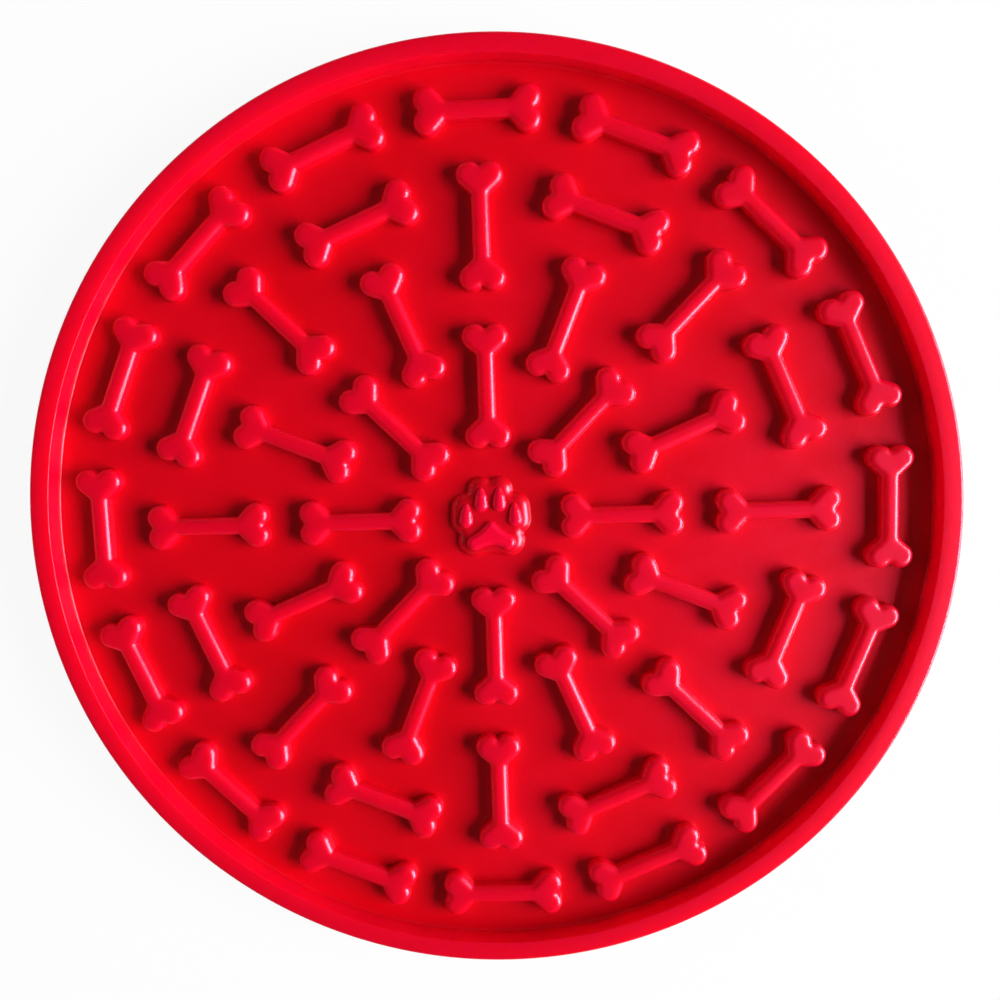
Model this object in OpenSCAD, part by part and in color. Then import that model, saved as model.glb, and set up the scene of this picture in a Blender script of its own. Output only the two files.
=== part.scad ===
// Round licking mat of moulded silicone. A thin floor carries five rings of raised bones
// round a raised paw, a low rim keeps the food in, and suction cups hold the back down.
// Z = 0 is the surface that the cups stand on. +Y is the top of the paw.

/* [Mat] */
// Outside diameter of the mat
mat_d = 200; // [190:1:230]
// Thickness of the floor
floor_t = 2; // [1.5:0.1:3]

/* [Rim] */
// Height of the rim above the floor
rim_h = 5; // [4.5:0.1:8]
// Width of the rim where it rises from the floor
rim_w = 4.9; // [4.6:0.1:6]
// Radius of the rim's outer top edge
rim_edge_r = 0.7; // [0.4:0.1:1.2]
// Fall of the rim's top towards its outer edge, in degrees
rim_slope = 5; // [2:0.5:8]
// Radius of the rim's inner top edge
rim_lip_r = 0.5; // [0.3:0.1:0.6]
// Radius of the fillet between rim and floor
rim_root_r = 0.6; // [0.4:0.1:1.2]
// Radius of the rim's lower outer edge
rim_foot_r = 0.6; // [0.3:0.1:1]
// Draft of the rim's inner wall, in degrees
rim_draft = 3; // [2:0.5:6]

/* [Bones] */
// Length of a bone over its knobs
bone_l = 26.7; // [24:0.1:28]
// Width over the two knobs at one end
bone_head_w = 10; // [9:0.1:10.6]
// Width of the shaft
bone_shaft_w = 4; // [3.4:0.1:4.6]
// Diameter of a knob
bone_knob_d = 5.6; // [4.8:0.1:6]
// Depth of the bow that joins the two knobs at one end
bone_bow = 1.35; // [1:0.05:1.8]
// Height of the knobs above the floor
bone_h = 3; // [2.4:0.1:3.6]
// Height of the shaft above the floor, a little under the knobs
bone_shaft_h = 2.85; // [2.2:0.05:3.5]
// Radius of the rounded top edges of the knobs
bone_edge_r = 1.6; // [1:0.1:1.7]
// Radius of the rounded top edges of the shaft
bone_shaft_edge_r = 1.5; // [0.9:0.1:1.6]
// Draft of a bone's walls, in degrees
bone_draft = 5; // [2:0.5:6]

/* [Paw] */
// Length of the raised boss under the paw
paw_l = 17.6; // [15:0.1:19]
// Height of the boss above the floor
paw_boss_h = 1.6; // [1.2:0.1:2]
// Radius of the boss's rounded top edge
paw_boss_edge_r = 1.2; // [0.6:0.1:1.3]
// Width of a toe
paw_toe_w = 2.9; // [2.4:0.1:3.2]
// Length of a toe
paw_toe_l = 5.2; // [4.8:0.1:5.8]
// Radius of a toe's tip
paw_toe_tip_r = 0.6; // [0.3:0.1:0.8]
// Height of the pad above the boss
paw_pad_h = 1.3; // [0.8:0.1:1.6]
// Radius of the pad's rounded top edge
paw_pad_edge_r = 0.8; // [0.4:0.1:1]
// Depth by which the pad's middle lies under its rounded corners
paw_pad_dip = 0.1; // [0.05:0.05:0.2]
// Draft of the walls of boss and pad, in degrees
paw_draft = 5; // [2:0.5:6]

/* [Suction cups] */
// Diameter of a cup over its lip
cup_d = 12; // [10:0.5:14]
// Height of a cup
cup_h = 3; // [2.5:0.1:4]
// Thickness of a cup's lip at its outer edge
cup_lip_t = 0.4; // [0.3:0.05:0.6]
// Width of the flat ring that a lip stands on
cup_land_w = 0.5; // [0.4:0.1:0.8]
// Depth of the hollow in a cup
cup_hollow_h = 1.6; // [1.2:0.1:1.8]

/* [Hidden] */
silicone_red = "#D8061F";

// Radii of the mat and heights of its layers
mat_r = mat_d / 2;
tray_r = mat_r - rim_w;
floor_r = tray_r + rim_root_r * tan(rim_draft) - rim_root_r / cos(rim_draft);
back_z = cup_h;
floor_z = back_z + floor_t;

// Depth by which a flat wall ends inside the arc that rounds it off
seam = 0.002;

// Rings of bones, from the paw outwards. Radii are shares of the tray's radius.
ring_bones = [8, 8, 8, 8, 16];
ring_radius_shares = [0.3, 0.477, 0.652, 0.722, 0.9015];
// Share of one step by which a ring is turned from +X
ring_turn_shares = [0, 0.5, 0, 0.5, 0];
// Turn of each bone from the line that runs to the centre
ring_bone_angle = [0, 0, 0, 90, 90];

// Knob centres of a bone
bone_knob_r = bone_knob_d / 2;
bone_knob_x = bone_l / 2 - bone_knob_r;
bone_knob_y = bone_head_w / 2 - bone_knob_r;

// Places on the paw, as shares of its length
outer_toe_shares = [0.308, -0.026];
inner_toe_shares = [0.112, 0.168];
pad_lobe_shares = [0.205, -0.3];
pad_top_shares = [0, -0.114];
pad_sole_shares = [0.207, -0.262];
boss_centre_shares = [0, -0.03];
// Lobes of the boss: half width, and length of the straight part, as shares of the paw's length
outer_lobe_shares = [0.193, 0.15];
inner_lobe_shares = [0.17, 0.18];
pad_lobe_r_share = 0.21;
sole_lobe_r_share = 0.182;
boss_centre_r_share = 0.23;
// Half widths of the pad's lobes, top, sides and sole, as shares of the paw's length
pad_lobe_knob_r_share = 0.096;
pad_top_r_share = 0.082;
pad_side_r_share = 0.078;
pad_sole_r_share = 0.075;
// Lean of the outer toes towards the middle
outer_toe_lean = 4;

// Rings of suction cups on the back. Radii are shares of the tray's radius.
inner_cups = 8;
outer_cups = 16;
inner_cups_radius_share = 0.4;
outer_cups_radius_share = 0.8;
cup_r = cup_d / 2;
cup_flare_r = cup_h - cup_lip_t;
cup_hollow_mouth_r = cup_r - cup_land_w;
cup_hollow_r = (pow(cup_hollow_mouth_r, 2) + pow(cup_hollow_h, 2)) / (2 * cup_hollow_h);

$fn = 96;

function bone_name(ring, number) = str("ring_", ring + 1, "_bone_", number + 1);
rings = [0 : len(ring_bones) - 1];
bone_names = [for (ring = rings, number = [0 : ring_bones[ring] - 1]) bone_name(ring, number)];

// Half the section of a moulded ridge, from its middle out: a drafted wall and a rounded top edge
module half_section(half_w, h, edge_r, draft) {
    arc_y = h - edge_r;
    arc_x = half_w - arc_y * tan(draft) - edge_r / cos(draft);
    wall_top = [arc_x, arc_y] + (edge_r - seam) * [cos(draft), sin(draft)];
    intersection() {
        union() {
            polygon([[0, 0], [half_w, 0], wall_top, [arc_x, h], [0, h]]);
            translate([arc_x, arc_y]) circle(r = edge_r);
        }
        square([half_w, h]);
    }
}

// Round knob with the ridge's section
module knob(r, h, edge_r, draft) {
    rotate_extrude() half_section(r, h, edge_r, draft);
}

// Half of a knob, on the +Y side of the origin
module half_knob(r, h, edge_r, draft) {
    rotate_extrude(angle = 180) half_section(r, h, edge_r, draft);
}

// Section of a ridge, centred on its middle line
module section(half_w, h, edge_r, draft) {
    for (side = [0, 1])
        mirror([side, 0]) half_section(half_w, h, edge_r, draft);
}

// Straight ridge from the origin along +X, with square ends
module ridge(length, half_w, h, edge_r, draft) {
    rotate([90, 0, 90])
        linear_extrude(length) section(half_w, h, edge_r, draft);
}

// Ridge from one point of the floor to another, with round ends
module arm(from, to, half_w, h, edge_r, draft) {
    run = to - from;
    length = norm(run);
    translate(from)
        rotate(atan2(run.y, run.x)) {
            rotate(90) half_knob(half_w, h, edge_r, draft);
            ridge(length, half_w, h, edge_r, draft);
            translate([length, 0, 0])
                rotate(-90) half_knob(half_w, h, edge_r, draft);
        }
}

// Floor of the tray, a plain disc that the rim's root continues
module floor_disc() {
    color(silicone_red)
        translate([0, 0, back_z])
            cylinder(r = floor_r, h = floor_t);
}

// Section of the rim and its root, with Y = 0 at the mat's back
module rim_section() {
    lip_y = floor_t + rim_h - rim_lip_r;
    lip_x = tray_r + (lip_y - floor_t) * tan(rim_draft) + rim_lip_r / cos(rim_draft);
    edge_x = mat_r - rim_edge_r;
    edge_y = lip_y - (edge_x - lip_x) * tan(rim_slope) + (rim_lip_r - rim_edge_r) / cos(rim_slope);
    wall_normal = [cos(rim_draft), -sin(rim_draft)];
    top_normal = [sin(rim_slope), cos(rim_slope)];
    lip = [lip_x, lip_y];
    edge = [edge_x, edge_y];
    root = [floor_r, floor_t + rim_root_r];
    difference() {
        union() {
            polygon([
                [floor_r, 0], [mat_r - rim_foot_r, 0], [mat_r, rim_foot_r],
                [mat_r, edge_y], edge + (rim_edge_r - seam) * top_normal,
                lip + (rim_lip_r - seam) * top_normal, lip - (rim_lip_r - seam) * wall_normal,
                root + (rim_root_r - seam) * wall_normal, [floor_r, floor_t]
            ]);
            translate([mat_r - rim_foot_r, rim_foot_r]) circle(r = rim_foot_r);
            translate(lip) circle(r = rim_lip_r);
            translate(edge) circle(r = rim_edge_r);
        }
        translate(root) circle(r = rim_root_r);
    }
}

// Raised rim, revolved in one piece with the curved root that meets the floor
module rim() {
    color(silicone_red)
        translate([0, 0, back_z])
            rotate_extrude($fn = 180) rim_section();
}

// One end of a bone: two knobs joined by a short ridge that bows back to meet the shaft
module bone_head() {
    bow_r = (pow(bone_knob_y, 2) + pow(bone_bow, 2)) / (2 * bone_bow);
    bow_x = bone_knob_x - bone_bow + bow_r;
    knob_angle = atan2(bone_knob_y, bone_knob_x - bow_x);
    translate([bow_x, 0, 0]) {
        rotate(knob_angle)
            rotate_extrude(angle = 360 - 2 * knob_angle)
                intersection() {
                    translate([bow_r, 0]) section(bone_knob_r, bone_h, bone_edge_r, bone_draft);
                    square([bow_r + bone_knob_r, bone_h]);
                }
        for (side = [0, 1])
            mirror([0, side])
                rotate(knob_angle)
                    translate([bow_r, 0, 0])
                        rotate(180) half_knob(bone_knob_r, bone_h, bone_edge_r, bone_draft);
    }
}

// A bone centred on the origin, lying along X
module bone() {
    shaft_l = 2 * bone_knob_x - bone_bow;
    translate([-shaft_l / 2, 0, 0])
        ridge(shaft_l, bone_shaft_w / 2, bone_shaft_h, bone_shaft_edge_r, bone_draft);
    for (turn = [0, 180])
        rotate(turn) bone_head();
}

// A bone at its place in its ring, standing on the floor
module placed_bone(ring, number) {
    step = 360 / ring_bones[ring];
    color(silicone_red)
        rotate(step * (number + ring_turn_shares[ring]))
            translate([ring_radius_shares[ring] * tray_r, 0, floor_z])
                rotate(ring_bone_angle[ring]) bone();
}

// Low boss with a lobe round each toe and round the pad
module paw_boss() {
    lobes = [
        [outer_toe_shares, outer_lobe_shares, outer_toe_lean],
        [inner_toe_shares, inner_lobe_shares, 0]
    ];
    sole = paw_l * pad_lobe_shares;
    color(silicone_red)
        translate([0, 0, floor_z]) {
            for (side = [0, 1], lobe = lobes)
                mirror([side, 0]) {
                    foot = paw_l * lobe[0];
                    run = paw_l * lobe[1][1];
                    tip = foot + run * [-sin(lobe[2]), cos(lobe[2])];
                    arm(foot, tip, paw_l * lobe[1][0], paw_boss_h, paw_boss_edge_r, paw_draft);
                }
            for (side = [0, 1])
                mirror([side, 0])
                    translate(sole)
                        knob(paw_l * pad_lobe_r_share, paw_boss_h, paw_boss_edge_r, paw_draft);
            translate([-sole.x, sole.y, 0])
                ridge(2 * sole.x, paw_l * sole_lobe_r_share, paw_boss_h, paw_boss_edge_r, paw_draft);
            translate(paw_l * boss_centre_shares)
                cylinder(r = paw_l * boss_centre_r_share, h = paw_boss_h);
        }
}

// Main pad of the paw: three rounded corners, joined by slightly lower sides and a hollow sole
module paw_pad() {
    top = paw_l * pad_top_shares;
    lobe = paw_l * pad_lobe_shares;
    sole = paw_l * pad_sole_shares;
    run = lobe - top;
    side_h = paw_pad_h - paw_pad_dip;
    side_edge_r = paw_pad_edge_r - paw_pad_dip;
    color(silicone_red)
        translate([0, 0, floor_z + paw_boss_h]) {
            translate(top)
                knob(paw_l * pad_top_r_share, paw_pad_h, paw_pad_edge_r, paw_draft);
            for (side = [0, 1])
                mirror([side, 0]) {
                    translate(lobe)
                        knob(paw_l * pad_lobe_knob_r_share, paw_pad_h, paw_pad_edge_r, paw_draft);
                    translate(top)
                        rotate(atan2(run.y, run.x))
                            ridge(norm(run), paw_l * pad_side_r_share, side_h, side_edge_r, paw_draft);
                }
            translate([-sole.x, sole.y, 0])
                ridge(2 * sole.x, paw_l * pad_sole_r_share, side_h, side_edge_r, paw_draft);
            linear_extrude(side_h)
                polygon([top, lobe, [-lobe.x, lobe.y]]);
        }
}

// Toe with its round end at the origin and its tip towards +Y: half of a lying drop
module toe() {
    round_r = paw_toe_w / 2;
    tip_y = paw_toe_l - round_r - paw_toe_tip_r;
    slope = asin((round_r - paw_toe_tip_r) / tip_y);
    side = [cos(slope), sin(slope)];
    intersection() {
        rotate([-90, 0, 0])
            rotate_extrude()
                intersection() {
                    union() {
                        circle(r = round_r);
                        translate([0, tip_y]) circle(r = paw_toe_tip_r);
                        polygon([
                            [0, 0], (round_r - seam) * side,
                            [0, tip_y] + (paw_toe_tip_r - seam) * side, [0, tip_y]
                        ]);
                    }
                    translate([0, -round_r]) square([round_r, paw_toe_l]);
                }
        translate([-round_r, -round_r, 0])
            cube([paw_toe_w, paw_toe_l, round_r]);
    }
}

// A toe at its place on the boss: side is -1 or 1, and the outer toes lean inwards
module placed_toe(side, shares, lean) {
    foot = paw_l * shares;
    color(silicone_red)
        translate([side * foot.x, foot.y, floor_z + paw_boss_h])
            rotate(side * lean) toe();
}

// Bell-shaped suction cup with a thin lip and a domed hollow
module suction_cup() {
    rotate_extrude()
        difference() {
            square([cup_r, cup_h]);
            translate([cup_r, cup_h]) circle(r = cup_flare_r);
            translate([0, cup_hollow_h - cup_hollow_r]) circle(r = cup_hollow_r, $fn = 360);
        }
}

// Ring of suction cups under the floor
module cup_ring(count, radius_share) {
    color(silicone_red)
        for (number = [0 : count - 1])
            rotate(number * 360 / count)
                translate([radius_share * tray_r, 0, 0]) suction_cup();
}

floor_disc();
rim();
for (ring = rings, number = [0 : ring_bones[ring] - 1])
    placed_bone(ring, number);
paw_boss();
paw_pad();
placed_toe(-1, outer_toe_shares, outer_toe_lean);  // paw_toe_1
placed_toe(-1, inner_toe_shares, 0);  // paw_toe_2
placed_toe(1, inner_toe_shares, 0);  // paw_toe_3
placed_toe(1, outer_toe_shares, outer_toe_lean);  // paw_toe_4
cup_ring(1, 0);  // centre_suction_cup
cup_ring(inner_cups, inner_cups_radius_share);  // inner_suction_cups
cup_ring(outer_cups, outer_cups_radius_share);  // outer_suction_cups
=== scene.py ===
"""Round silicone licking mat: five rings of raised bones round a paw, inside a low rim.

The named lengths are in millimetres, and every mesh is made in metres. Z = 0 is the surface
that the suction cups stand on, and +Y is the top of the paw.
"""
import math

import bpy
from mathutils import Matrix, Vector


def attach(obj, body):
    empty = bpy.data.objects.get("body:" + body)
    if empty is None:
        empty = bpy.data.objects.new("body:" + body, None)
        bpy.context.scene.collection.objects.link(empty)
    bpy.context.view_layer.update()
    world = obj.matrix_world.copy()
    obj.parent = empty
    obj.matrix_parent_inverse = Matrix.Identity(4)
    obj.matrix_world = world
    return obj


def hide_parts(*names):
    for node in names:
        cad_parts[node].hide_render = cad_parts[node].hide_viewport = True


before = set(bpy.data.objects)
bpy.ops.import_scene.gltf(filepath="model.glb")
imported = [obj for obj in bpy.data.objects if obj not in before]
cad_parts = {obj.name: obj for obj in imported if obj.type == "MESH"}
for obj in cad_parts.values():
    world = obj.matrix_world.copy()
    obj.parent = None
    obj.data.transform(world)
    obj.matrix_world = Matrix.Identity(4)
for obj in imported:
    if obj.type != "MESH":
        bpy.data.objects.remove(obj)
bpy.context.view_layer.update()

MM = 0.001
TAU = 2 * math.pi

# Mat
MAT_R = 100.0
BACK_Z = 3.0
FLOOR_Z = 5.0
LATHE_STEPS = 360
SHARP_ANGLE = math.radians(40)

# Rim
RIM_H = 5.0
RIM_W = 4.25
RIM_LIP_R = 0.15
RIM_EDGE_R = 0.7
# How much lower the rim's flat top is at its inner lip
RIM_TOP_FALL = 0.15
RIM_ROOT_R = 0.5
RIM_FOOT_R = 0.6
RIM_DRAFT = math.radians(1)
# Flat strip of floor that the rim's piece carries, so that both meet level
RIM_APRON = 0.3
TRAY_R = MAT_R - RIM_W

# Bones
BONE_H = 3.0
BONE_EDGE_R = 0.7
BONE_DRAFT = math.radians(3)
# Tilt of the crown where it leaves the edge, and how far in from the outline it gets level
BONE_CROWN_TILT = math.radians(50)
BONE_CROWN_REACH = 1.88
BONE_CROWN_POWER = 2.9
BONE_SHAFT_HALF_W = 2.0
BONE_KNOB_R = 2.8
BONE_KNOB_X = 10.57
BONE_KNOB_Y = 2.22
BONE_NECK_X = 6.38
BONE_NECK_R = 0.5
BONE_NOTCH_R = 0.35
# Bones in a ring, radius of the ring, share of a step by which it is turned, turn of each bone
RINGS = [
    (8, 28.5, 0.0, 0),
    (8, 45.4, 0.5, 0),
    (8, 62.0, 0.0, 0),
    (8, 68.7, 0.5, 90),
    (16, 85.7, 0.0, 90),
]

# Paw: circles as (x, y, radius), on the +X side
PAW_BOSS_H = 1.6
PAW_BOSS_EDGE_R = 2.6
BOSS_PAD_LOBE = (3.64, -5.0, 3.7)
BOSS_OUTER_FOOT = (5.42, -0.46, 3.4)
BOSS_OUTER_TIP = (5.24, 2.18, 3.4)
BOSS_INNER_TIP = (1.97, 6.12, 2.99)
BOSS_NOTCH_R = 0.45
BOSS_SOLE_R = 7.64
PAW_PAD_H = 0.95
PAW_PAD_EDGE_R = 1.15
PAD_LOBE = (3.6, -5.3, 1.7)
PAD_TOP = (0.0, -1.85, 1.25)
PAD_SIDE_R = 9.0
PAD_SOLE_R = 4.7
TOE_H = 1.0
# Circles that a toe's outline runs round, as (distance from its round end, radius)
TOE_CIRCLES = [(0.0, 1.5), (1.7, 1.2), (3.2, 0.6)]
# Place of each toe's round end, and its lean
TOES = [(-5.42, -0.46, -4), (-1.97, 2.96, 0), (1.97, 2.96, 0), (5.42, -0.46, 4)]

# Suction cups
CUP_R = 6.0
CUP_NECK_R = 3.4
CUP_LIP_T = 0.4
CUP_LAND_W = 0.5
CUP_HOLLOW_H = 1.6
CUP_EDGE_R = 0.15
# Where the flare's arc ends and the lip's arc starts, in degrees
CUP_FLARE_END = 266
CUP_LIP_START = 80
# Number of cups and radius of their ring
CUP_RINGS = {
    "centre_suction_cup": (1, 0.0),
    "inner_suction_cups": (8, 38.04),
    "outer_suction_cups": (16, 76.08),
}

# How finely outlines, sections and turned forms are divided
ARC_STEP = math.radians(7)
STRAIGHT_STEP = 1.5
EDGE_STEPS = 10
CROWN_STEPS = 10
FLOOR_RINGS = 12
RIM_ROOT_STEPS = 10
RIM_TOP_STEPS = 8
RIM_FOOT_STEPS = 6
TOE_ARC_STEPS = 10
TOE_TURN_STEPS = 28
CUP_TURN_STEPS = 64
CUP_FLARE_STEPS = 14
CUP_LIP_STEPS = 4
CUP_DOME_STEPS = 20
# Points of an outline nearer than this are one, and radii smaller than the second lie on the axis
SAME_POINT = 1e-3
ON_AXIS = 1e-6
# Depth by which a raised form stands in what carries it, and the flat strip inside its top edge
SINK = 0.02
TOP_STRIP = 0.06


# ---- Outlines and sections ----

def belt(pulleys):
    """Outline round circles (x, y, signed radius), anticlockwise, as (x, y, normal x, normal y).

    The outline bulges round a circle of positive radius and hollows in round a negative one.
    """
    pairs = list(zip(pulleys, pulleys[1:] + pulleys[:1]))
    leaving = []
    for (x0, y0, r0), (x1, y1, r1) in pairs:
        lean = max(-1.0, min(1.0, (r0 - r1) / math.hypot(x1 - x0, y1 - y0)))
        leaving.append(math.atan2(y1 - y0, x1 - x0) - math.acos(lean))
    outline = []
    for i, (x, y, r) in enumerate(pulleys):
        turn = (leaving[i] - leaving[i - 1]) % TAU
        if r < 0:
            turn -= TAU
        steps = max(2, math.ceil(abs(turn) / ARC_STEP))
        for k in range(steps + 1):
            angle = leaving[i - 1] + turn * k / steps
            nx, ny = math.cos(angle), math.sin(angle)
            add_sample(outline, (x + r * nx, y + r * ny, nx, ny))
        nx, ny = math.cos(leaving[i]), math.sin(leaving[i])
        x1, y1, r1 = pulleys[(i + 1) % len(pulleys)]
        here = Vector((x + r * nx, y + r * ny))
        there = Vector((x1 + r1 * nx, y1 + r1 * ny))
        pieces = math.ceil((there - here).length / STRAIGHT_STEP)
        for k in range(1, pieces):
            point = here.lerp(there, k / pieces)
            add_sample(outline, (point.x, point.y, nx, ny))
    if math.dist(outline[0][:2], outline[-1][:2]) < SAME_POINT:
        outline.pop()
    return outline


def add_sample(outline, sample):
    """Adds a sample to an outline, unless it lies on the last one."""
    if not outline or math.dist(outline[-1][:2], sample[:2]) > SAME_POINT:
        outline.append(sample)


def notch(a, b, r):
    """Circle of radius r that touches circles a and b from outside, on the right of the way from a to b."""
    (xa, ya, ra), (xb, yb, rb) = a, b
    base = math.hypot(xb - xa, yb - ya)
    da, db = ra + r, rb + r
    along = (base * base + da * da - db * db) / (2 * base)
    out = math.sqrt(da * da - along * along)
    ux, uy = (xb - xa) / base, (yb - ya) / base
    return (xa + along * ux + out * uy, ya + along * uy - out * ux, -r)


def mirrored(circle):
    """The same circle on the -X side."""
    x, y, r = circle
    return (-x, y, r)


def crowned_section(height, edge_r, draft, tilt, reach, power):
    """Inset and height over a drafted wall and a tight edge onto a crown that levels off inwards."""
    slope = math.tan(tilt)
    # Inset of the crown's start if the crown were as high there as in its middle, and how much lower it is
    flush = (height - edge_r * math.cos(tilt)) * math.tan(draft) + edge_r / math.cos(draft) - edge_r * math.sin(tilt)
    drop = slope * (reach - flush) / (power - slope * math.tan(draft))
    start = flush - drop * math.tan(draft)
    edge_x = start + edge_r * math.sin(tilt)
    edge_z = height - drop - edge_r * math.cos(tilt)
    section = [(-SINK * math.tan(draft), -SINK)]
    section += arc((edge_x, edge_z), edge_r, 180 - math.degrees(draft), 90 + math.degrees(tilt), EDGE_STEPS)
    for k in range(1, CROWN_STEPS + 1):
        u = k / CROWN_STEPS
        section.append((start + (reach - start) * u, height - drop * (1 - u) ** power))
    return section


def dome_section(height, edge_r):
    """Inset and height of one arc that rises from the floor at an angle and ends level."""
    reach = math.sqrt(edge_r ** 2 - (edge_r - height) ** 2)
    base_tilt = math.asin(reach / edge_r)
    section = [(-SINK * math.cos(base_tilt), -SINK)]
    for k in range(EDGE_STEPS + 1):
        tilt = base_tilt * (1 - k / EDGE_STEPS)
        section.append((reach - edge_r * math.sin(tilt), edge_r * math.cos(tilt) - edge_r + height))
    section.append((reach + TOP_STRIP, height))
    return section


# ---- Meshes ----

def make_piece(name, material, points, faces, *nodes):
    """A smooth mesh from points in millimetres, standing for those CAD nodes."""
    mesh = bpy.data.meshes.new(name)
    mesh.from_pydata([Vector(p) * MM for p in points], [], faces)
    mesh.polygons.foreach_set("use_smooth", [True] * len(mesh.polygons))
    mesh.set_sharp_from_angle(angle=SHARP_ANGLE)
    mesh.materials.append(material)
    mesh.update()
    piece = bpy.data.objects.new(name, mesh)
    bpy.context.scene.collection.objects.link(piece)
    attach(piece, "root")
    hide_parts(*nodes)
    return piece


def raised_form(outline, section, place):
    """Points and faces of a closed form: one loop of the outline for each point of the section."""
    points = []
    for inset, z in section:
        points += [place @ Vector((x - inset * nx, y - inset * ny, z)) for x, y, nx, ny in outline]
    count = len(outline)
    faces = loop_faces(count, len(section))
    faces.append(tuple(range(len(points) - count, len(points))))
    faces.append(tuple(reversed(range(count))))
    return points, faces


def loop_faces(count, loops):
    """Quads between closed loops of as many points each."""
    faces = []
    for level in range(loops - 1):
        for i in range(count):
            a = level * count + i
            b = level * count + (i + 1) % count
            faces.append((a, b, b + count, a + count))
    return faces


def lathe(profile, steps, centre=(0.0, 0.0)):
    """Points and faces of a closed profile of (radius, z), clockwise, turned about a vertical axis.

    Points on the axis become one point.
    """
    points, rows = [], []
    for r, z in profile:
        if r < ON_AXIS:
            rows.append([len(points)] * steps)
            points.append((centre[0], centre[1], z))
            continue
        rows.append(list(range(len(points), len(points) + steps)))
        for k in range(steps):
            angle = TAU * k / steps
            points.append((centre[0] + r * math.cos(angle), centre[1] + r * math.sin(angle), z))
    faces = []
    for row, after in zip(rows, rows[1:] + rows[:1]):
        for k in range(steps):
            face = [row[k], row[(k + 1) % steps], after[(k + 1) % steps], after[k]]
            face = [p for i, p in enumerate(face) if p not in face[:i]]
            if len(face) > 2:
                faces.append(face)
    return points, faces


def arc(centre, r, start, end, steps):
    """Points of an arc in the (radius, z) plane, angles in degrees."""
    angles = [math.radians(start + (end - start) * k / steps) for k in range(steps + 1)]
    return [(centre[0] + r * math.cos(a), centre[1] + r * math.sin(a)) for a in angles]


# ---- Sub-parts ----

def make_floor_and_rim():
    """The floor's disc, and the rim with its root, each turned in one piece."""
    draft = math.degrees(RIM_DRAFT)
    root_r = TRAY_R + RIM_ROOT_R * (math.tan(RIM_DRAFT) - 1 / math.cos(RIM_DRAFT))
    seam_r = root_r - RIM_APRON
    front = [(seam_r * k / FLOOR_RINGS, FLOOR_Z) for k in range(FLOOR_RINGS, -1, -1)]
    back = [(seam_r * k / FLOOR_RINGS, BACK_Z) for k in range(FLOOR_RINGS + 1)]
    points, faces = lathe((front + back)[::-1], LATHE_STEPS)
    make_piece("floor", THIN_SILICONE, points, faces, "floor_disc")

    lip_z = FLOOR_Z + RIM_H - RIM_TOP_FALL - RIM_LIP_R
    lip_r = TRAY_R + (lip_z - FLOOR_Z) * math.tan(RIM_DRAFT) + RIM_LIP_R / math.cos(RIM_DRAFT)
    edge_r = MAT_R - RIM_EDGE_R
    edge_z = FLOOR_Z + RIM_H - RIM_EDGE_R
    # The flat top touches the arcs of the lip and of the outer edge, both at this angle
    across = math.hypot(edge_r - lip_r, edge_z - lip_z)
    rise = math.atan2(edge_z - lip_z, edge_r - lip_r) - math.asin((RIM_LIP_R - RIM_EDGE_R) / across)
    top = 90 + math.degrees(rise)
    foot = (MAT_R - RIM_FOOT_R, BACK_Z + RIM_FOOT_R)
    profile = [(seam_r, FLOOR_Z)]
    profile += arc((root_r, FLOOR_Z + RIM_ROOT_R), RIM_ROOT_R, -90, -draft, RIM_ROOT_STEPS)
    profile += arc((lip_r, lip_z), RIM_LIP_R, 180 - draft, top, RIM_TOP_STEPS)
    profile += arc((edge_r, edge_z), RIM_EDGE_R, top, 0, RIM_TOP_STEPS)
    profile += arc(foot, RIM_FOOT_R, 0, -90, RIM_FOOT_STEPS)
    profile += [(seam_r, BACK_Z)]
    points, faces = lathe(profile[::-1], LATHE_STEPS)
    make_piece("rim_ring", RIM_SILICONE, points, faces, "rim")


def make_bones():
    """Every bone on its own, all of one outline and section."""
    knob = (BONE_KNOB_X, BONE_KNOB_Y, BONE_KNOB_R)
    low_knob = (BONE_KNOB_X, -BONE_KNOB_Y, BONE_KNOB_R)
    half_w = BONE_SHAFT_HALF_W + BONE_NECK_R
    right = [low_knob, notch(low_knob, knob, BONE_NOTCH_R), knob]
    outline = belt(
        right
        + [(BONE_NECK_X, half_w, -BONE_NECK_R), (-BONE_NECK_X, half_w, -BONE_NECK_R)]
        + [(-x, -y, r) for x, y, r in right]
        + [(-BONE_NECK_X, -half_w, -BONE_NECK_R), (BONE_NECK_X, -half_w, -BONE_NECK_R)]
    )
    section = crowned_section(
        BONE_H, BONE_EDGE_R, BONE_DRAFT, BONE_CROWN_TILT, BONE_CROWN_REACH, BONE_CROWN_POWER
    )
    for ring, (count, radius, turn_share, turn) in enumerate(RINGS, 1):
        for number in range(count):
            place = (
                Matrix.Rotation(TAU * (number + turn_share) / count, 4, "Z")
                @ Matrix.Translation((radius, 0, FLOOR_Z))
                @ Matrix.Rotation(math.radians(turn), 4, "Z")
            )
            node = f"ring_{ring}_bone_{number + 1}"
            make_piece(f"{node}_form", BONE_SILICONE, *raised_form(outline, section, place), node)


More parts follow.
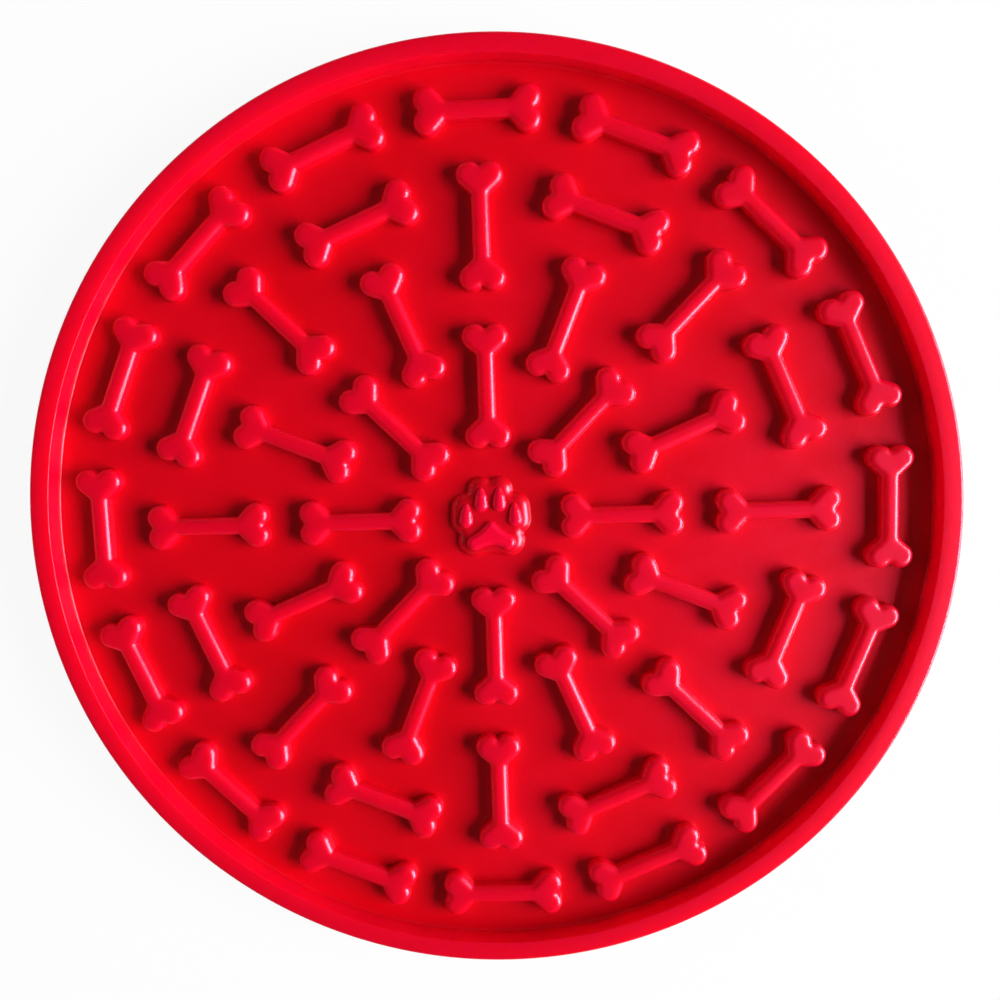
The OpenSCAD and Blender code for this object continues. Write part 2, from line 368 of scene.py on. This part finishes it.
def make_paw():
    """Boss, pad and toes of the paw."""
    right = [
        BOSS_PAD_LOBE,
        notch(BOSS_PAD_LOBE, BOSS_OUTER_FOOT, BOSS_NOTCH_R),
        BOSS_OUTER_FOOT,
        BOSS_OUTER_TIP,
        notch(BOSS_OUTER_TIP, BOSS_INNER_TIP, BOSS_NOTCH_R),
        BOSS_INNER_TIP,
    ]
    left = [mirrored(circle) for circle in reversed(right)]
    outline = belt(
        right
        + [notch(BOSS_INNER_TIP, mirrored(BOSS_INNER_TIP), BOSS_NOTCH_R)]
        + left
        + [notch(mirrored(BOSS_PAD_LOBE), BOSS_PAD_LOBE, BOSS_SOLE_R)]
    )
    section = dome_section(PAW_BOSS_H, PAW_BOSS_EDGE_R)
    place = Matrix.Translation((0, 0, FLOOR_Z))
    make_piece("paw_boss_form", BOSS_SILICONE, *raised_form(outline, section, place), "paw_boss")

    outline = belt([
        PAD_LOBE,
        notch(PAD_LOBE, PAD_TOP, PAD_SIDE_R),
        PAD_TOP,
        notch(PAD_TOP, mirrored(PAD_LOBE), PAD_SIDE_R),
        mirrored(PAD_LOBE),
        notch(mirrored(PAD_LOBE), PAD_LOBE, PAD_SOLE_R),
    ])
    section = dome_section(PAW_PAD_H, PAW_PAD_EDGE_R)
    place = Matrix.Translation((0, 0, FLOOR_Z + PAW_BOSS_H))
    make_piece("paw_pad_form", PAW_SILICONE, *raised_form(outline, section, place), "paw_pad")
    for number, (x, y, lean) in enumerate(TOES, 1):
        place = Matrix.Translation((x, y, FLOOR_Z + PAW_BOSS_H)) @ Matrix.Rotation(math.radians(lean), 4, "Z")
        make_piece(f"paw_toe_{number}_form", PAW_SILICONE, *toe_form(place), f"paw_toe_{number}")


def toe_form(place):
    """Half of an egg lying on the boss, its round end at the origin and its tip towards +Y."""
    leans = [-90.0]
    for (y0, r0), (y1, r1) in zip(TOE_CIRCLES, TOE_CIRCLES[1:]):
        leans.append(math.degrees(math.asin((r0 - r1) / (y1 - y0))))
    leans.append(90.0)
    profile = []
    for (y, r), start, end in zip(TOE_CIRCLES, leans, leans[1:]):
        profile += arc((0.0, y), r, start, end, TOE_ARC_STEPS)
    rise = TOE_H / TOE_CIRCLES[0][1]
    points, rows = [], []
    for x, y in profile:
        row = []
        for k in range(TOE_TURN_STEPS + 1):
            if k == 0 or x >= ON_AXIS:
                turn = math.pi * k / TOE_TURN_STEPS
                points.append(place @ Vector((x * math.cos(turn), y, rise * x * math.sin(turn) - SINK)))
            row.append(len(points) - 1)
        rows.append(row)
    faces = []
    for row, after in zip(rows, rows[1:]):
        for k in range(TOE_TURN_STEPS):
            face = [row[k + 1], after[k + 1], after[k], row[k]]
            faces.append([p for i, p in enumerate(face) if p not in face[:i]])
    faces.append([row[0] for row in rows] + [row[-1] for row in rows[-2:0:-1]])
    return points, faces


def make_cups():
    """The suction cups on the back, with thin lips and domed hollows."""
    mouth_r = CUP_R - CUP_LAND_W
    dome_r = (mouth_r ** 2 + CUP_HOLLOW_H ** 2) / (2 * CUP_HOLLOW_H)
    dome_end = math.degrees(math.asin(mouth_r / dome_r))
    flare_r = BACK_Z - CUP_LIP_T
    profile = [(0.0, BACK_Z), (CUP_NECK_R, BACK_Z)]
    profile += arc((CUP_R, BACK_Z), flare_r, 180, CUP_FLARE_END, CUP_FLARE_STEPS)
    profile += arc((CUP_R - CUP_EDGE_R, CUP_LIP_T - CUP_EDGE_R), CUP_EDGE_R, CUP_LIP_START, 0, CUP_LIP_STEPS)
    profile += arc((CUP_R - CUP_EDGE_R, CUP_EDGE_R), CUP_EDGE_R, 0, -90, CUP_LIP_STEPS)
    profile += [(mouth_r, 0.0)]
    profile += arc((0.0, CUP_HOLLOW_H - dome_r), dome_r, 90 - dome_end, 90, CUP_DOME_STEPS)[1:]
    profile[-1] = (0.0, CUP_HOLLOW_H)
    for node, (count, radius) in CUP_RINGS.items():
        points, faces = [], []
        for number in range(count):
            angle = TAU * number / count
            centre = (radius * math.cos(angle), radius * math.sin(angle))
            more, around = lathe(profile[::-1], CUP_TURN_STEPS, centre)
            faces += [[p + len(points) for p in face] for face in around]
            points += more
        make_piece(f"{node}_form", THIN_SILICONE, points, faces, node)


# ---- Materials ----

# Reds: of the thin floor and its pale clouds; of raised forms' tops, painted lighter as painted light; of the rim's
# top, painted lighter as painted light;
# of the paw's boss, painted darker as painted shade; and of its pad and toes, painted lighter as painted light
FLOOR_RED = (0.72, 0.0, 0.005, 1)
CLOUD_RED = (0.76, 0.0, 0.008, 1)
TOP_RED_PAINTED_LIGHT = (0.84, 0.0, 0.02, 1)
RIM_RED_PAINTED_LIGHT = (0.82, 0.0, 0.02, 1)
BOSS_RED_PAINTED_SHADE = (0.68, 0.0, 0.008, 1)
PAW_RED_PAINTED_LIGHT = (0.98, 0.0, 0.03, 1)
# Height at which a form has all of its top red. From the floor up to it the red turns towards the top red: painted
# light on bones, rim, pad and toes, painted shade on the boss
PAINTED_LIGHT_TOP_Z = 7.0
# Noises: scale per metre, detail and roughness, and the band of values that they are spread from
CLOUDS = (28, 3, 0.55)
MOTTLE = (260, 4, 0.6)
GRAIN = (2600, 3, 0.6)
NOISE_BAND = (0.35, 0.65)
# Roughness over the clouds, and what the mottle adds to it
CLOUD_ROUGHNESS = (0.36, 0.42)
MOTTLE_ROUGHNESS = (-0.03, 0.03)
GRAIN_STRENGTH = 0.9
GRAIN_DEPTH = 0.00004
SPECULAR_LEVEL = 0.8
SPECULAR_TINT = (1.0, 0.04, 0.36, 1)
COAT_WEIGHT = 0.72
COAT_ROUGHNESS = 0.23
# How far light spreads inside thick silicone, in metres and by colour
SCATTER_REACH = 0.005
SCATTER_BY_COLOUR = (1.0, 0.1, 0.1)
# Share of light that spreads there, and the heights from none of it to all of it
BONE_SCATTER = (0.9, FLOOR_Z + 0.8, FLOOR_Z + 2.2)
RIM_SCATTER = (0.9, FLOOR_Z, FLOOR_Z + 1)
TABLE_GREY = (0.9, 0.9, 0.9, 1)
TABLE_ROUGHNESS = 0.9


def noise(tree, coordinates, scale, detail, roughness):
    """Noise in object space."""
    made = tree.nodes.new("ShaderNodeTexNoise")
    made.inputs["Scale"].default_value = scale
    made.inputs["Detail"].default_value = detail
    made.inputs["Roughness"].default_value = roughness
    tree.links.new(coordinates, made.inputs["Vector"])
    return made.outputs["Fac"]


def spread(tree, value, low_in, high_in, low_out, high_out):
    """The value, mapped from one range to another and held inside it."""
    made = tree.nodes.new("ShaderNodeMapRange")
    for name, number in zip(("From Min", "From Max", "To Min", "To Max"), (low_in, high_in, low_out, high_out)):
        made.inputs[name].default_value = number
    tree.links.new(value, made.inputs["Value"])
    return made.outputs["Result"]


def blend(tree, factor, a, b):
    """Two colours mixed. Each is a colour or a node's output."""
    made = tree.nodes.new("ShaderNodeMix")
    made.data_type = "RGBA"
    tree.links.new(factor, made.inputs["Factor"])
    # The colour sockets of this node share their names with those of the other data types
    for socket, colour in zip([i for i in made.inputs if i.type == "RGBA"], (a, b)):
        if isinstance(colour, tuple):
            socket.default_value = colour
        else:
            tree.links.new(colour, socket)
    return next(o for o in made.outputs if o.type == "RGBA")


def silicone_material(name, painted_top_red, scatter=0, thin_z=0, thick_z=0):
    """Satin red silicone: fine moulded grain, faint clouds of bloom and uneven gloss. The red turns towards the
    given top red with height, which paints light where the top red is paler and shade where it is darker.

    Scatter is the share of light that spreads inside the form, from none of it at the thin height
    to all of it at the thick one.
    """
    material = bpy.data.materials.new(name)
    material.use_nodes = True
    tree = material.node_tree
    shader = tree.nodes["Principled BSDF"]
    coordinates = tree.nodes.new("ShaderNodeTexCoord").outputs["Object"]
    clouds = noise(tree, coordinates, *CLOUDS)
    mottle = noise(tree, coordinates, *MOTTLE)
    grain = noise(tree, coordinates, *GRAIN)

    clouded = blend(tree, spread(tree, clouds, *NOISE_BAND, 0, 1), FLOOR_RED, CLOUD_RED)
    apart = tree.nodes.new("ShaderNodeSeparateXYZ")
    tree.links.new(coordinates, apart.inputs["Vector"])
    # Painted light and shade: the red turns with height from the floor's red to the top red, so raised tops are
    # painted lighter and the boss darker
    height = spread(tree, apart.outputs["Z"], FLOOR_Z * MM, PAINTED_LIGHT_TOP_Z * MM, 0, 1)
    raised = blend(tree, height, clouded, painted_top_red)
    tree.links.new(raised, shader.inputs["Base Color"])

    gloss = tree.nodes.new("ShaderNodeMath")
    gloss.operation = "ADD"
    tree.links.new(spread(tree, clouds, *NOISE_BAND, *CLOUD_ROUGHNESS), gloss.inputs[0])
    tree.links.new(spread(tree, mottle, *NOISE_BAND, *MOTTLE_ROUGHNESS), gloss.inputs[1])
    tree.links.new(gloss.outputs["Value"], shader.inputs["Roughness"])

    bump = tree.nodes.new("ShaderNodeBump")
    bump.inputs["Strength"].default_value = GRAIN_STRENGTH
    bump.inputs["Distance"].default_value = GRAIN_DEPTH
    tree.links.new(grain, bump.inputs["Height"])
    tree.links.new(bump.outputs["Normal"], shader.inputs["Normal"])
    tree.links.new(bump.outputs["Normal"], shader.inputs["Coat Normal"])

    if scatter:
        thick = spread(tree, apart.outputs["Z"], thin_z * MM, thick_z * MM, 0, scatter)
        tree.links.new(thick, shader.inputs["Subsurface Weight"])
        shader.inputs["Subsurface Radius"].default_value = SCATTER_BY_COLOUR
        shader.inputs["Subsurface Scale"].default_value = SCATTER_REACH
    shader.inputs["Specular IOR Level"].default_value = SPECULAR_LEVEL
    shader.inputs["Specular Tint"].default_value = SPECULAR_TINT
    shader.inputs["Coat Weight"].default_value = COAT_WEIGHT
    shader.inputs["Coat Roughness"].default_value = COAT_ROUGHNESS
    return material


def table_material():
    """White table top that the camera sees as white, and that keeps the mat's shadow."""
    material = bpy.data.materials.new("white_table")
    material.use_nodes = True
    tree = material.node_tree
    shader = tree.nodes["Principled BSDF"]
    shader.inputs["Base Color"].default_value = TABLE_GREY
    shader.inputs["Roughness"].default_value = TABLE_ROUGHNESS
    shader.inputs["Specular IOR Level"].default_value = 0.0
    path = tree.nodes.new("ShaderNodeLightPath")
    seen = path.outputs["Is Camera Ray"]
    for ray in ("Is Glossy Ray", "Is Transmission Ray"):
        either = tree.nodes.new("ShaderNodeMath")
        either.operation = "MAXIMUM"
        tree.links.new(seen, either.inputs[0])
        tree.links.new(path.outputs[ray], either.inputs[1])
        seen = either.outputs["Value"]
    glow = tree.nodes.new("ShaderNodeEmission")
    glow.inputs["Strength"].default_value = 1.0
    glowing = tree.nodes.new("ShaderNodeMixShader")
    tree.links.new(spread(tree, seen, 0, 1, 0, TABLE_GLOW_SHARE), glowing.inputs["Fac"])
    tree.links.new(shader.outputs["BSDF"], glowing.inputs[1])
    tree.links.new(glow.outputs["Emission"], glowing.inputs[2])
    tree.links.new(glowing.outputs["Shader"], tree.nodes["Material Output"].inputs["Surface"])
    return material


# ---- Stage ----

TABLE_SIZE = 12.0
# Share of the table's white that doesn't depend on the light
TABLE_GLOW_SHARE = 0.93
# Room light: its colour, its strength at the horizon and overhead, and the height from which it is that of overhead
ROOM_COLOUR = (1.0, 0.95, 0.86, 1)
ROOM_HORIZON = 0.26
ROOM_ZENITH = 0.05
ROOM_ZENITH_FROM = 0.5
# Lamps: azimuth from +X and elevation in degrees, then distance, width and height in metres, power in watts,
# and whether its reflection shows
KEY_LAMP = (-10, 25, 1.5, 1.22, 0.79, 51.5, True)
FILL_LAMP = (170, 14, 1.5, 1.2, 0.6, 7.0, False)

# Camera: a pinhole over the mat. Lens and sensor in millimetres, tilt, turn and roll in degrees, and the place
# of the aim, a point above the mat's centre, as the camera sees it
CAMERA_SENSOR = 36
CAMERA_LENS = 31.9
CAMERA_TILT = 5.77
CAMERA_TURN = -1.53
CAMERA_ROLL = 1.70
CAMERA_OFFSET = (-2.02, -3.98, -192.96)
CAMERA_AIM_Z = 6.5
CAMERA_CLIP_START = 0.01


def make_table():
    """The white table under the mat."""
    half = TABLE_SIZE / 2
    mesh = bpy.data.meshes.new("table")
    mesh.from_pydata([(-half, -half, 0), (half, -half, 0), (half, half, 0), (-half, half, 0)], [], [(0, 1, 2, 3)])
    mesh.materials.append(table_material())
    table = bpy.data.objects.new("table", mesh)
    bpy.context.scene.collection.objects.link(table)


def make_lamp(name, azimuth, elevation, distance, width, height, power, shines):
    """A soft lamp that looks at the mat's centre."""
    data = bpy.data.lights.new(name, "AREA")
    data.shape = "RECTANGLE"
    data.size = width
    data.size_y = height
    data.energy = power
    lamp = bpy.data.objects.new(name, data)
    a, e = math.radians(azimuth), math.radians(elevation)
    way = Vector((math.cos(a) * math.cos(e), math.sin(a) * math.cos(e), math.sin(e)))
    lamp.location = way * distance
    lamp.rotation_euler = way.to_track_quat("Z", "Y").to_euler()
    lamp.visible_glossy = shines
    bpy.context.scene.collection.objects.link(lamp)


def make_room():
    """Plain room light, pale at the horizon and dimmer overhead."""
    world = bpy.data.worlds.new("room")
    world.use_nodes = True
    tree = world.node_tree
    background = tree.nodes["Background"]
    background.inputs["Color"].default_value = ROOM_COLOUR
    way = tree.nodes.new("ShaderNodeSeparateXYZ")
    tree.links.new(tree.nodes.new("ShaderNodeTexCoord").outputs["Generated"], way.inputs["Vector"])
    strength = spread(tree, way.outputs["Z"], 0, ROOM_ZENITH_FROM, ROOM_HORIZON, ROOM_ZENITH)
    tree.links.new(strength, background.inputs["Strength"])
    bpy.context.scene.world = world


def make_camera():
    """The camera, where the photograph was taken from."""
    data = bpy.data.cameras.new("camera")
    data.sensor_width = CAMERA_SENSOR
    data.lens = CAMERA_LENS
    data.clip_start = CAMERA_CLIP_START
    camera = bpy.data.objects.new("camera", data)
    view = (
        Matrix.Translation(Vector(CAMERA_OFFSET) * MM)
        @ Matrix.Rotation(math.radians(CAMERA_TURN), 4, "Y")
        @ Matrix.Rotation(math.radians(CAMERA_TILT), 4, "X")
        @ Matrix.Rotation(math.radians(CAMERA_ROLL), 4, "Z")
    )
    camera.matrix_world = Matrix.Translation((0, 0, CAMERA_AIM_Z * MM)) @ view.inverted()
    bpy.context.scene.collection.objects.link(camera)
    bpy.context.scene.camera = camera


# The top reds paint light onto the bones, rim, pad and toes, and shade onto the paw's boss
THIN_SILICONE = silicone_material("red_silicone", TOP_RED_PAINTED_LIGHT)
BOSS_SILICONE = silicone_material("red_silicone_boss_painted_shade", BOSS_RED_PAINTED_SHADE)
PAW_SILICONE = silicone_material("red_silicone_paw", PAW_RED_PAINTED_LIGHT)
BONE_SILICONE = silicone_material("red_silicone_bones", TOP_RED_PAINTED_LIGHT, *BONE_SCATTER)
RIM_SILICONE = silicone_material("red_silicone_rim_painted_light", RIM_RED_PAINTED_LIGHT, *RIM_SCATTER)
make_floor_and_rim()
make_bones()
make_paw()
make_cups()
make_table()
make_room()
make_lamp("key_lamp", *KEY_LAMP)
make_lamp("fill_lamp", *FILL_LAMP)
make_camera()
bpy.context.scene.view_settings.view_transform = "Standard"

bpy.context.view_layer.update()
